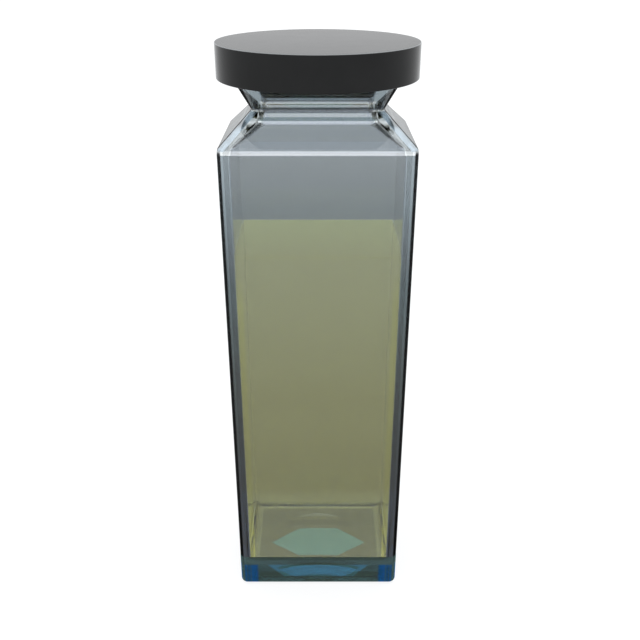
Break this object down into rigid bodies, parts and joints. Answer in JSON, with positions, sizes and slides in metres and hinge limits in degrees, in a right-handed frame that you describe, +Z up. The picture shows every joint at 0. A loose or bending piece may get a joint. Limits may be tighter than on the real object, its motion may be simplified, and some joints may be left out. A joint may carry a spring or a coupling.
{
  "type": "specimen jar",
  "caption": "Tall rectangular glass jar of preserving fluid with chamfered shoulders, a waisted neck with a flared rim, and a round black lift-off plug lid.",
  "frame": {"origin": "centre of the base, on the plane the jar stands on", "axes": "+Z up the jar, X across the wide front face, -Y out of the face seen in the picture"},
  "size_m": [0.083, 0.083, 0.2647],
  "materials": {
    "jar_glass": "clear moulded glass, faint blue-grey",
    "fluid": "clear yellow-green liquid",
    "lid_black": "smooth moulded black plastic",
    "plug_black": "moulded black plastic",
    "seal_rubber": "matt black silicone rubber",
    "gasket_rubber": "matt black rubber sheet"
  },
  "bodies": {
    "jar": {"jar_body": "jar_glass", "preserving_fluid": "fluid"},
    "lid": {"lid_shell": "lid_black", "plug_insert": "plug_black", "plug_seal": "seal_rubber", "rim_gasket": "gasket_rubber"}
  },
  "joints": [
    {"name": "lid_lift", "type": "slide", "parent": "jar", "child": "lid", "axis": [0, 0, 1], "range_m": [0, 0.06]}
  ]
}
